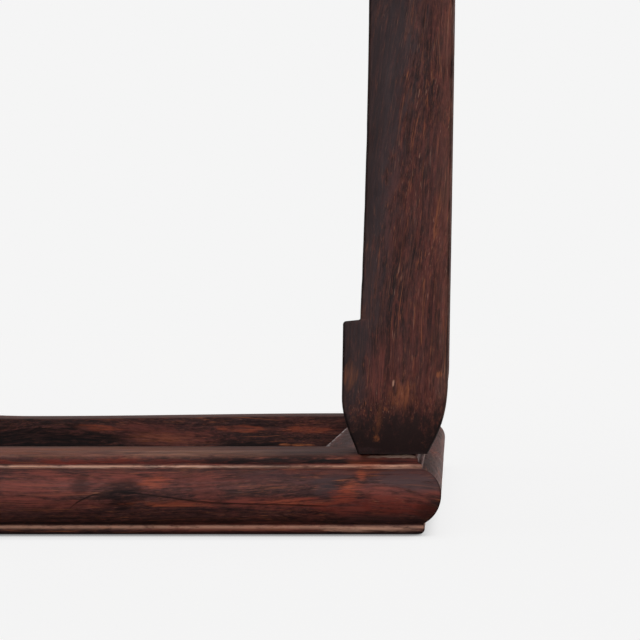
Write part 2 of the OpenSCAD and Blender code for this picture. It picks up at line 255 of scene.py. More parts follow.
def inner_edge():
    """The leg's inner edge with its spur, as distance from the middle by height."""
    hollow = SOLE_IN - FOOT_IN
    upper = CURVE_Z - WAISTLINE
    lower = WAISTLINE - SPUR_Z
    corner = SHOULDER_IN - CORNER_R
    return joined(
        [(SOLE_IN + SOLE_EDGE_IN, BASE_H), (SOLE_IN, BASE_H + SOLE_EDGE_UP)],
        curve([(SOLE_IN, BASE_H + FOOT_START), (SOLE_IN - 0.31 * hollow, BASE_H + 0.12 * FOOT_H),
               (FOOT_IN - 0.6, BASE_H + 0.27 * FOOT_H), (FOOT_IN, BASE_H + 0.46 * FOOT_H)], 24),
        arc((SPUR_EDGE + SPUR_R, SPUR_Z - SPUR_R), SPUR_R, 180, 97, 7),
        arc((ANKLE_IN - HOLLOW_R, SPUR_Z + 1.6 * HOLLOW_R), HOLLOW_R, -82, 0, 4),
        curve([(ANKLE_IN, SPUR_Z + 1.6 * HOLLOW_R), ((SHAFT_IN + ANKLE_IN) / 2, SPUR_Z + 0.28 * lower),
               (SHAFT_IN, WAISTLINE - 0.33 * lower), (SHAFT_IN, WAISTLINE)], 16),
        curve([(SHAFT_IN, WAISTLINE), (SHAFT_IN, WAISTLINE + 0.33 * upper),
               (SHOULDER_IN, CURVE_Z - 0.35 * upper), (SHOULDER_IN, CURVE_Z)], 30),
        arc((corner, CURVE_Z), CORNER_R, 0, 45, 8),
        [(SHOULDER_HALF - TIP_BACK, CURVE_Z + SHOULDER_HALF - TIP_BACK - corner)])


def ring_heights(inner):
    """Heights of a leg's rings, closest below the spur, with one at each point of its inner edge."""
    top = inner[-1][1]
    above_spur = SPUR_Z + 2
    heights = np.concatenate([np.linspace(BASE_H, above_spur, FOOT_RINGS),
                              np.linspace(above_spur, top, LEG_RINGS), inner[:, 1]])
    return [z for z in sorted(set(np.round(heights, 3))) if z <= top]


# Meshes

def turned(points, k):
    """Points of a front piece, turned to side k: 1 is right, 2 is back, 3 is left."""
    x, y, z = points.T
    for _ in range(k):
        x, y = -y, x
    return np.stack([x, y, z], 1)


def field(points, size, seed):
    """Smooth noise from about -1 to 1 at points, whose features are about size long on each axis."""
    shifted = points / np.array(size, float) + seed * 7.31
    return np.array([noise.noise(Vector(p)) for p in shifted])


def add_object(name, data, location=(0, 0, 0), rotation=(0, 0, 0)):
    """A new object in the scene."""
    obj = bpy.data.objects.new(name, data)
    obj.location = location
    obj.rotation_euler = rotation
    bpy.context.scene.collection.objects.link(obj)
    return obj


def mesh_object(name, points, faces, layers):
    """A closed piece from points in millimetres. Each layer is a named number on every point."""
    mesh = bpy.data.meshes.new(name)
    mesh.from_pydata((points * MM).tolist(), [], faces)
    for layer, values in layers.items():
        attribute = mesh.attributes.new(layer, "FLOAT", "POINT")
        attribute.data.foreach_set("value", values.astype(np.float32))
    obj = add_object(name, mesh)
    bm = bmesh.new()
    bm.from_mesh(mesh)
    bmesh.ops.recalc_face_normals(bm, faces=bm.faces)
    bm.to_mesh(mesh)
    bm.free()
    return obj


def finished(obj, node):
    """Smooths a piece, and puts it in the place of its CAD node."""
    obj.data.shade_smooth()
    obj.data.set_sharp_from_angle(angle=math.radians(40))
    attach(obj, "root")
    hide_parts(node)
    return obj


def spots(points, places):
    """How near points of a section are to places, each given as x, y, reach and strength."""
    value = np.zeros(len(points))
    for x, y, reach, strength in places:
        d = np.hypot(points[:, 0] - x, points[:, 1] - y) / reach
        value = np.maximum(value, strength * np.exp(-d * d))
    return value


def ring_faces(rings, around):
    """Faces of a tube of closed rings with a cap at each end."""
    faces = [tuple(reversed(range(around)))]
    for i in range(rings - 1):
        low, high = i * around, (i + 1) * around
        for j in range(around):
            k = (j + 1) % around
            faces.append((low + j, low + k, high + k, high + j))
    faces.append(tuple((rings - 1) * around + j for j in range(around)))
    return faces


def sunk(x, middle, before, after, depth):
    """How far a rail's top has sunk at places x. before and after are the hollow's reach to either side."""
    share = np.clip(np.abs(x - middle) / np.where(x < middle, before, after), 0, 1)
    return depth * np.cos(share * math.pi / 2) ** 2


def outward(section, centre):
    """Directions square to a closed section, away from its centre."""
    tangent = np.roll(section, -1, 0) - np.roll(section, 1, 0)
    normal = np.stack([tangent[:, 1], -tangent[:, 0]], 1)
    normal /= np.linalg.norm(normal, axis=1)[:, None]
    return -normal if np.sum((section - centre) * normal) < 0 else normal


def moulded_rail(node, half, w, h, low, k, seed):
    """A mitred rail with the shared moulding, slightly uneven and chipped along its bead."""
    section, worn_and_highlit, grimy_and_shaded = rail_section(w, h)
    around = len(section)
    normal = outward(section, np.array([w / 2, h / 2]))
    # A few more rings stand close to the mitres
    steps = np.linspace(-1, 1, int(2 * half / RAIL_STEP))
    joint = np.array([0.4, 1.2]) / half
    steps = np.sort(np.concatenate([steps, 1 - joint, joint - 1]))
    count = len(steps)
    u = np.tile(section[:, 0], count)
    x = np.repeat(steps, around) * (half - u)
    z = np.tile(section[:, 1], count)
    place = np.stack([x, u, z], 1)
    wear_and_highlight, grime_and_shade = np.tile(spots(section, worn_and_highlit), count), np.tile(spots(section, grimy_and_shaded), count)
    # Handwork leaves long shallow waves, use leaves dents, and the bead loses chips
    wave = 0.1 * field(place, (70, 14, 14), seed) + 0.05 * field(place, (19, 6, 6), seed + 1)
    chip = np.clip(field(place, (5, 9, 9), seed + 2) - 0.28, 0, 1) * 1.6 * np.minimum(wear_and_highlight, 0.8)
    from_mitre = half - u - np.abs(x)
    eased = 0.12 * np.exp(-((from_mitre / 0.35) ** 2))
    # Dirt sits in the mitres, most of all low down and where they cross the groove
    on_groove = (u > BEAD_IN + BEAD_R) & (z > h / 2) & (z < h - 0.4)
    share = np.where(on_groove, 0.8, np.clip((h - 8 - z) / 5, 0.1, 1))
    rim = 0.85 * np.exp(-((from_mitre / 0.9) ** 2)) * share
    flat = (z < 0.01) | (z > h - 0.01)
    push = np.where(flat, -np.abs(wave) * 0.3, wave - 0.05) - chip - eased
    off = np.tile(normal, (count, 1)) * push[:, None]
    points = np.stack([x, u - half + off[:, 0], low + z + off[:, 1]], 1)
    points[:, 1] = np.maximum(points[:, 1], -half)
    if node in HOLLOWS:
        points[:, 2] -= z / h * sunk(x, *HOLLOWS[node])
    points[:, 2] = np.clip(points[:, 2], low, low + h)
    # The darkening layer holds that painted shade and the dirt in the mitres
    layers = {"wear_and_highlight": wear_and_highlight, "grime_and_shade": np.maximum(grime_and_shade, rim)}
    obj = mesh_object(node + "_worn", turned(points, k), ring_faces(count, around), layers)
    return finished(obj, node)


def rounded_ring(low, high, radii, fill):
    """A ring round a rectangle from low to high, with a radius for each corner from low to low again.
    fill gives the points added on each side. Returns the ring and how near an arris each point is."""
    (x0, y0), (x1, y1) = low, high
    corners = ((x0, y0, 1, 1, 180), (x1, y0, -1, 1, 270), (x1, y1, -1, -1, 0), (x0, y1, 1, -1, 90))
    bends = [arc((x + sx * r, y + sy * r), r, start, start + 90, 4)
             for (x, y, sx, sy, start), r in zip(corners, radii)]
    ring, marks = [], []
    for i, bend in enumerate(bends):
        following = bends[(i + 1) % 4]
        ring += bend + line(bend[-1], following[0], fill[i] + 1)[1:-1]
        marks += [0.35, 0.85, 1.0, 0.85, 0.35] + [0.0] * fill[i]
    return ring, marks


def box_mesh(low, high):
    """A helper block for a cut or a union, in millimetres."""
    low, high = Vector(low) * MM, Vector(high) * MM
    bm = bmesh.new()
    bmesh.ops.create_cube(bm, size=1)
    bmesh.ops.transform(bm, verts=bm.verts, matrix=Matrix.LocRotScale((low + high) / 2, None, high - low))
    mesh = bpy.data.meshes.new("block")
    bm.to_mesh(mesh)
    bm.free()
    return add_object("block", mesh)


def cut(obj, tool, operation="DIFFERENCE"):
    """Applies a boolean of obj with a helper object, and removes the helper."""
    modifier = obj.modifiers.new("cut", "BOOLEAN")
    modifier.operation = operation
    modifier.solver = "EXACT"
    modifier.object = tool
    made = bpy.data.meshes.new_from_object(obj.evaluated_get(bpy.context.evaluated_depsgraph_get()))
    obj.modifiers.clear()
    obj.data = made
    bpy.data.objects.remove(tool)


def leg_rings(outer, inner, heights):
    """Points of a leg's rings, how near an arris each one is, and how dark painted shade along the arrises
    makes it.
    """
    points, wear_and_highlight, edge = [], [], []
    for z in heights:
        a = float(np.interp(z, inner[:, 1], inner[:, 0]))
        b = float(np.interp(z, outer[:, 1], outer[:, 0]))
        share = min(1.0, max(0.0, (b - a) / 6))
        side_ease = LEG_EASE if z < APRON_Z - 0.3 * CORNER_R else JOINT_EASE
        radii = [side_ease * share, LEG_EASE * share, side_ease * share, BACK_EASE * share]
        ring, marks = rounded_ring((a, -b), (b, -a), radii, (5, 5, 5, 5))
        points += [(x, y, z) for x, y in ring]
        wear_and_highlight += marks
        edge += [1.0 if m >= 0.85 else 0.4 * m for m in marks]
    return np.array(points), np.array(wear_and_highlight), np.array(edge)


def fit_head(obj):
    """Cuts the aprons' room out of a leg's shoulder, and adds the head behind them."""
    over = 5
    inside = 100
    for low, high in (((inside, -APRON_BACK, CURVE_Z - over), (SHOULDER_IN, -inside, WAIST_Z + over)),
                      ((inside, -SHOULDER_IN, CURVE_Z - over), (APRON_BACK, -inside, WAIST_Z + over))):
        cut(obj, box_mesh(low, high))
    head = box_mesh((SHOULDER_IN, -APRON_BACK, APRON_Z - HEAD_DROP), (APRON_BACK, -SHOULDER_IN, TOP_Z))
    cut(obj, head, "UNION")


def leg(node, k, seed):
    """A leg: square rings from the sole to the tip of the shoulder, with its head behind the aprons."""
    inner = inner_edge()
    heights = ring_heights(inner)
    points, wear_and_highlight, edge = leg_rings(outer_edge(), inner, heights)
    around = len(points) // len(heights)
    place = turned(points, k)
    # The faces are a little uneven, and the arrises lost some wood here and there
    middle = np.array([(SHAFT_IN + SHOULDER_HALF) / 2, -(SHAFT_IN + SHOULDER_HALF) / 2])
    inward = middle - points[:, :2]
    inward /= np.linalg.norm(inward, axis=1)[:, None]
    wave = 0.1 * field(place, (30, 30, 90), seed) + 0.04 * field(place, (9, 9, 24), seed + 1) + 0.03
    nick = np.clip(field(place, (8, 8, 11), seed + 2) - 0.3, 0, 1) * 1.5 * wear_and_highlight
    push = np.clip(wave, 0, 1) + nick
    seated = points[:, 2] > CURVE_Z - TRUE_RUN
    push = np.where(seated, nick * 0.4, push)
    points[:, :2] += inward * push[:, None]
    # Painted shade darkens the leg along its arrises and just above the sole, where the foot meets the rail
    at_sole = np.exp(-(((points[:, 2] - BASE_H) / 1.8) ** 2))
    layers = {"wear_and_highlight": wear_and_highlight, "grime_and_shade": np.maximum(0.95 * edge, 0.35 * at_sole)}
    obj = mesh_object(node + "_worn", points, ring_faces(len(heights), around), layers)
    fit_head(obj)
    obj.data.transform(Matrix.Rotation(k * math.pi / 2, 4, "Z"))
    return finished(obj, node)


def swept_bar(node, rings, k, seed, rough=0.12):
    """A bar through rings of points and marks, slightly uneven, turned to side k."""
    around = len(rings[0][0])
    points = np.array([p for ring, marks in rings for p in ring], float)
    wear_and_highlight = np.array([m for ring, marks in rings for m in marks], float)
    middle = np.repeat(np.array([np.mean(ring, 0) for ring, marks in rings]), around, 0)
    inward = middle - points
    inward[:, 0] = 0
    inward /= np.maximum(np.linalg.norm(inward, axis=1), 1e-6)[:, None]
    nick = np.clip(field(points, (9, 7, 7), seed) - 0.25, 0, 1) * wear_and_highlight
    wave = np.clip(0.5 + field(points, (60, 25, 25), seed + 1), 0, 1)
    points += inward * (rough * wave + 0.7 * nick)[:, None]
    obj = mesh_object(node + "_worn", turned(points, k), ring_faces(len(rings), around), {"wear_and_highlight": wear_and_highlight})
    return finished(obj, node)


def apron(node, k, seed):
    """An apron: its ends run out to a tip along the mitre of the leg's shoulder."""
    corner = SHOULDER_IN - CORNER_R
    mitre_x = corner + CORNER_R * math.cos(math.radians(45))
    drop_z = APRON_Z - APRON_DROP
    lower = joined(
        curve([(0, drop_z), (0.34 * corner, drop_z), (0.64 * corner, APRON_Z), (corner, APRON_Z)], 24),
        arc((corner, CURVE_Z), CORNER_R, 90, 45, 8),
        [(SHOULDER_HALF, WAIST_Z)])
    half = sorted(set(list(lower[:, 0]) + list(np.linspace(0, SHOULDER_HALF - 0.4, 90))))
    stations = [-x for x in reversed(half[1:-1])] + half[:-1]
    rings = []
    for x in stations:
        low = float(np.interp(abs(x), lower[:, 0], lower[:, 1]))
        back = -max(APRON_BACK, min(abs(x), SHOULDER_HALF - 0.3))
        share = min(1.0, (WAIST_Z - low) / 5, (back + SHOULDER_HALF) / 4)
        under = (0.3 if abs(x) > mitre_x else 1.0) * share
        radii = [under, under, 0.5 * share, 0.9 * share]
        ring, marks = rounded_ring((-SHOULDER_HALF, low), (back, WAIST_Z), radii, (3, 6, 3, 9))
        rings.append(([(x, y, z) for y, z in ring], marks))
    return swept_bar(node, rings, k, seed)


def bar(node, low, high, r, k, seed, mitre=0.0, fill=(6, 3, 6, 3), step=4):
    """A straight bar along X from low to high with arrises of radius r.
    mitre is how much shorter each end is at the back than at the front."""
    reach = high[0] - low[0]
    thick = max(high[1] - low[1], 1)
    count = int(reach / step)
    inner = [low[0] + reach * i / count for i in range(1, count)]
    stations = [(low[0], r), (low[0] + 0.3 * r, 0.45 * r), (low[0] + r, 0)]
    stations += [(x, 0) for x in inner if low[0] + 1.5 * r < x < high[0] - 1.5 * r]
    stations += [(high[0] - r, 0), (high[0] - 0.3 * r, 0.45 * r), (high[0], r)]
    rings = []
    for x, inset in stations:
        near = (low[1] + inset, low[2] + inset)
        far = (high[1] - inset, high[2] - inset)
        ring, marks = rounded_ring(near, far, [r] * 4, fill)
        slant = mitre * (x - (low[0] + high[0]) / 2) / (reach / 2)
        rings.append(([(x - slant * (y - low[1]) / thick, y, z) for y, z in ring], marks))
    return swept_bar(node, rings, k, seed, 0.05)


# The last number of each call is the seed of the piece's unevenness
pieces = {}
low, high = (waist_low.x, waist_low.y, WAIST_Z), (waist_high.x, waist_high.y, TOP_Z)
for k, side in enumerate(SIDES):
    node = "base_rail_" + side
    pieces[node] = moulded_rail(node, BASE_HALF, BASE_RAIL_W, BASE_H, 0, k, 11 + k)
    node = "top_rail_" + side
    pieces[node] = moulded_rail(node, TOP_HALF, TOP_RAIL_W, STAND_H - TOP_Z, TOP_Z, k, 31 + k)
    node = "apron_" + side
    pieces[node] = apron(node, k, 51 + k)
    node = "waist_" + side
    pieces[node] = bar(node, low, high, 0.4, k, 61 + k, mitre=waist_high.y - waist_low.y)
for k, corner in enumerate(LEGS):
    node = "leg_" + corner
    pieces[node] = leg(node, k, 71 + k)
panel_half = TOP_HALF - TOP_RAIL_W - PANEL_GAP
low, high = (-panel_half, -panel_half, panel_low.z), (panel_half, panel_half, panel_high.z)
pieces["top_panel"] = bar("top_panel", low, high, 0.6, 0, 81, fill=(60, 3, 60, 3), step=5)
in_half = TOP_HALF - TOP_RAIL_W - BATTEN_GAP
batten_top = panel_low.z - BATTEN_TOP_GAP
for node in ("batten_left", "batten_right"):
    low, high = node_box(node)
    pieces[node] = bar(node, (-in_half, -high.x, low.z), (in_half, -low.x, batten_top), 0.8, 1, 91)


# Materials

def shade(red, green, blue):
    """Linear colour of a screen colour given from 0 to 255."""
    linear = [((c / 255 + 0.055) / 1.055) ** 2.4 if c > 10 else c / 255 / 12.92 for c in (red, green, blue)]
    return (*linear, 1)


INK = shade(15, 10, 11)
DARK = shade(48, 31, 32)
BROWN = shade(78, 48, 46)
RED_BROWN = shade(116, 59, 51)
ORANGE = shade(168, 80, 50)
TAN = shade(222, 168, 142)
PALE = shade(250, 210, 190)
SLATE = shade(54, 44, 47)
DUSK = shade(42, 31, 31)
MAUVE = shade(68, 50, 51)
ASH = shade(168, 156, 156)
RUST = shade(106, 38, 28)
OCHRE = shade(158, 92, 58)
STRAW = shade(178, 146, 92)
STRAW_DARK = shade(120, 88, 48)

# How strongly the old wax mirrors the light
WAXED = 0.1

# Heights of a drawn vein are given up to this one
PATH_TOP = 50

# The grain of a leg leans to the right as it rises
LEG_LEAN = 0.13
LEAN_Z = 75


class Nodes:
    """Short calls that add shader nodes to one material or world."""

    def __init__(self, tree):
        self.tree = tree

    def make(self, kind, inputs, output=0, **settings):
        """Adds a node, sets or links its inputs by name or number, and returns one of its outputs."""
        node = self.tree.nodes.new("ShaderNode" + kind)
        for name, value in settings.items():
            setattr(node, name, value)
        for name, value in inputs.items():
            if isinstance(value, bpy.types.NodeSocket):
                self.tree.links.new(value, node.inputs[name])
            else:
                node.inputs[name].default_value = value
        return node.outputs[output]

    def math(self, operation, a, b=0.0, clamp=False):
        """A sum, product or other result of two numbers."""
        return self.make("Math", {0: a, 1: b}, operation=operation, use_clamp=clamp)

    def vector(self, operation, a, b):
        """The same for two vectors."""
        return self.make("VectorMath", {0: a, 1: b}, operation=operation)

    def noise(self, place, size, detail=3.0, rough=0.55, seed=0.0):
        """Noise from 0 to 1 whose features are about size long on each axis, in millimetres."""
        scaled = self.vector("DIVIDE", place, size)
        moved = self.vector("ADD", scaled, (seed * 3.7, seed * 1.9, seed * 2.3))
        return self.make("TexNoise", {"Vector": moved, "Scale": 1.0, "Detail": detail, "Roughness": rough})

    def ramp(self, value, low, high, floor=0.0, ceiling=1.0):
        """A smooth step from floor to ceiling as value goes from low to high."""
        return self.make("MapRange", {"Value": value, 1: low, 2: high, 3: floor, 4: ceiling},
                         interpolation_type="SMOOTHSTEP")

    def blend(self, factor, a, b):
        """Mixes two colours: factor 0 gives a, and 1 gives b."""
        return self.make("Mix", {0: factor, 6: a, 7: b}, output=2, data_type="RGBA", blend_type="MIX")

    def path(self, x, points):
        """Height over place x of a smooth path through points, given from left to right."""
        start, end = points[0][0], points[-1][0]
        node = self.tree.nodes.new("ShaderNodeFloatCurve")
        curve = node.mapping.curves[0]
        for i, (px, pz) in enumerate(points):
            place = ((px - start) / (end - start), pz / PATH_TOP)
            if i == 0:
                curve.points[0].location = place
            elif i == len(points) - 1:
                curve.points[-1].location = place
            else:
                curve.points.new(*place)
        node.mapping.update()
        self.tree.links.new(self.make("MapRange", {"Value": x, 1: start, 2: end}), node.inputs["Value"])
        return self.math("MULTIPLY", node.outputs[0], PATH_TOP)

    def parts(self, vector):
        """The three numbers of a vector."""
        node = self.tree.nodes.new("ShaderNodeSeparateXYZ")
        self.tree.links.new(vector, node.inputs[0])
        return node.outputs

    def mark(self, name):
        """A number that the mesh holds for every point."""
        return self.make("Attribute", {}, output=2, attribute_name=name)


def new_material(name):
    """A new material, the calls that add nodes to it, and its shader."""
    material = bpy.data.materials.new(name)
    material.use_nodes = True
    tree = material.node_tree
    shader = tree.nodes["Principled BSDF"]
    return material, Nodes(tree), shader


def piece_place(n, k, grain, lean=0.0):
    """Places in millimetres as on the front piece, and the same with the grain along the first axis.
    lean is how far the grain moves to the right for each millimetre up, from LEAN_Z on."""
    spot = n.make("TexCoord", {}, output=3)
    turn = (0, 0, -k * math.pi / 2)
    front = n.make("Mapping", {"Vector": spot, "Rotation": turn, "Scale": (1000, 1000, 1000)})
    x, y, z = n.parts(front)
    if lean:
        shift = n.math("MULTIPLY", n.math("SUBTRACT", z, LEAN_Z), lean)
        x = n.math("SUBTRACT", x, shift)
        front = n.make("CombineXYZ", {0: x, 1: y, 2: z})
    order = {"x": (x, y, z), "y": (y, x, z), "z": (z, x, y)}[grain]
    along = n.make("CombineXYZ", {i: axis for i, axis in enumerate(order)})
    return front, along


def bare_wood(n, wood, seed, red, dark, porous):
    """Colour of the bare wood, and its fibres, streaks and pores."""
    band = n.noise(wood, (240, 7, 7), 3, 0.6, seed + 1)
    streak = n.noise(wood, (90, 2.4, 2.4), 3, 0.6, seed + 2)
    fibre = n.noise(wood, (30, 0.8, 0.8), 2, 0.7, seed + 3)
    patch = n.noise(wood, (90, 24, 24), 3, 0.55, seed + 4)
    flare = n.noise(wood, (60, 6, 6), 4, 0.6, seed + 6)
    stain = n.noise(wood, (60, 15, 15), 5, 0.62, seed + 7)
    pore = n.noise(wood, (10, 0.45, 0.45), 1, 0.5, seed + 8)
    glint = n.noise(wood, (70, 0.7, 0.7), 2, 0.65, seed + 13)
    speck = n.noise(wood, (5, 0.55, 0.55), 2, 0.7, seed + 14)
    mottle = n.noise(wood, (4, 1.8, 1.8), 3, 0.6, seed + 15)
    lively = n.ramp(streak, 0.42, 0.6, 0.15, 1)
    pores = n.math("MULTIPLY", n.ramp(pore, 0.64, 0.76), lively)
    layers = (
        (n.ramp(patch, 0.66 - 0.3 * red, 0.9 - 0.25 * red, 0, 0.7), RED_BROWN),
        (n.ramp(streak, 0.5, 0.78, 0, 0.45), RED_BROWN),
        (n.ramp(streak, 0.5, 0.26, 0, 0.5), INK),
        (n.ramp(flare, 0.66, 0.84, 0, 0.45), ORANGE),
        (n.ramp(stain, 0.72 - 0.2 * dark, 0.9 - 0.2 * dark, 0, 0.7), INK),
        (n.ramp(fibre, 0.6, 0.32, 0, 0.5), INK),
        (n.ramp(speck, 0.5, 0.28, 0, 0.5), INK),
        (n.ramp(speck, 0.52, 0.8, 0, 0.3), OCHRE),
        (n.ramp(mottle, 0.5, 0.3, 0, 0.4), INK),
        (n.ramp(mottle, 0.52, 0.75, 0, 0.35), RED_BROWN),
        (n.math("MULTIPLY", n.ramp(glint, 0.54, 0.74, 0, 0.6), lively), OCHRE),
        (n.math("MULTIPLY", pores, porous), TAN))
    colour = n.blend(n.ramp(band, 0.34, 0.66), DARK, BROWN)
    for cover, paint in layers:
        colour = n.blend(cover, colour, paint)
    return colour, fibre, streak, pores


def with_marks(n, colour, front, wobble, streaky, solid, marks):
    """Paints marks on a colour. They follow the grain, the dark ones less so."""
    for paint, centre, size, strength in marks:
        apart = n.vector("DIVIDE", n.vector("SUBTRACT", front, centre), size)
        far = n.make("VectorMath", {0: apart}, output=1, operation="LENGTH")
        far = n.math("ADD", far, n.ramp(wobble, 0.2, 0.8, -0.6, 0.6))
        cover = n.ramp(far, 1.3, 0.45, 0, strength)
        if paint != DUSK:
            cover = n.math("MULTIPLY", cover, solid if paint in (INK, SLATE, MAUVE) else streaky)
        colour = n.blend(cover, colour, paint)
    return colour


def with_veins(n, colour, front, thread, solid, veins):
    """Paints thin veins on a colour, each along its path."""
    x, y, z = n.parts(front)
    for paint, thick, strength, points in veins:
        left, right = points[0][0], points[-1][0]
        far = n.make("Math", {0: n.math("SUBTRACT", z, n.path(x, points))}, operation="ABSOLUTE")
        far = n.math("ADD", far, n.ramp(thread, 0.2, 0.8, -0.4 * thick, 0.4 * thick))
        ends = n.math("MULTIPLY", n.ramp(x, left, left + 6), n.ramp(x, right, right - 12))
        cover = n.math("MULTIPLY", n.ramp(far, 1.3 * thick, 0.4 * thick, 0, strength), ends)
        cover = n.math("MULTIPLY", cover, n.math("LESS_THAN", y, VEIN_DEPTH))
        colour = n.blend(n.math("MULTIPLY", cover, solid), colour, paint)
    return colour


def rosewood(name, k, grain, seed, lean, board, marks, veins):
    """Old waxed rosewood: figure, fibres, pores, stains, arrises lightened by use and by painted
    highlights, and soiling and painted shade in the hollows and along shaded arrises. board is how red and
    how dark it is, how light its arrises wore and its painted highlights show, and how light its pores are."""
    red, dark, rubbed_and_highlit, porous = board
    material, n, shader = new_material(name)
    front, along = piece_place(n, k, grain, lean)
    # The grain wanders a little across the piece
    drift_1 = n.noise(along, (260, 90, 90), 2, seed=seed)
    drift_2 = n.noise(along, (230, 80, 80), 2, seed=seed + 5)
    drift = n.make("CombineXYZ", {1: n.ramp(drift_1, 0.2, 0.8, -8, 8), 2: n.ramp(drift_2, 0.2, 0.8, -8, 8)})
    wood = n.vector("ADD", along, drift)
    colour, fibre, streak, pores = bare_wood(n, wood, seed, red, dark, porous)
    rub = n.noise(along, (16, 5, 5), 4, 0.7, seed + 10)
    # Lightens the arrises by use, and on the rails' bead and plinth also paints their highlights
    worn_and_highlit = n.math("MULTIPLY", n.mark("wear_and_highlight"), n.ramp(rub, 0.3, 0.55))
    colour = n.blend(n.math("MULTIPLY", worn_and_highlit, rubbed_and_highlit), colour, TAN)
    wobble = n.noise(wood, (14, 3, 3), 4, 0.65, seed + 9)
    thread = n.noise(wood, (26, 1.3, 1.3), 3, 0.7, seed + 12)
    streaky, solid = n.ramp(thread, 0.34, 0.62, 0.15, 1), n.ramp(thread, 0.3, 0.6, 0.6, 1)
    colour = with_marks(n, colour, front, wobble, streaky, solid, marks)
    colour = with_veins(n, colour, front, thread, solid, veins)
    # Darkens with dirt in the mitres, and with painted shade in the hollows, under the nose and along the
    # legs' arrises
    dirt_and_shade = n.math("MULTIPLY", n.mark("grime_and_shade"), n.ramp(rub, 0.7, 0.3, 0.6, 1))
    colour = n.blend(n.math("MULTIPLY", dirt_and_shade, 0.92), colour, INK)

    gloss = n.ramp(n.noise(along, (30, 14, 14), 3, 0.6, seed + 11), 0.3, 0.7, 0.46, 0.6)
    gloss = n.math("ADD", gloss, n.ramp(fibre, 0.3, 0.7, 0.06, -0.03))
    gloss = n.math("ADD", gloss, n.math("MULTIPLY", dirt_and_shade, 0.3), clamp=True)
    relief = n.math("ADD", n.math("MULTIPLY", fibre, 0.5), n.math("MULTIPLY", pores, -0.5))
    relief = n.math("ADD", relief, n.math("MULTIPLY", streak, 0.5))
    bump = n.make("Bump", {"Height": relief, "Strength": 0.3, "Distance": 0.0004})
    n.tree.links.new(colour, shader.inputs["Base Color"])
    n.tree.links.new(gloss, shader.inputs["Roughness"])
    n.tree.links.new(bump, shader.inputs["Normal"])
    shader.inputs["Specular IOR Level"].default_value = WAXED
    return material


def bamboo(name):
    """Pale split bamboo for the pins."""
    material, n, shader = new_material(name)
    along = piece_place(n, 0, "z")[1]
    fibre = n.noise(along, (20, 0.4, 0.4), 3, 0.6)
    n.tree.links.new(n.blend(n.ramp(fibre, 0.35, 0.65), STRAW_DARK, STRAW), shader.inputs["Base Color"])
    n.tree.links.new(n.ramp(fibre, 0.3, 0.7, 0.6, 0.45), shader.inputs["Roughness"])
    return material


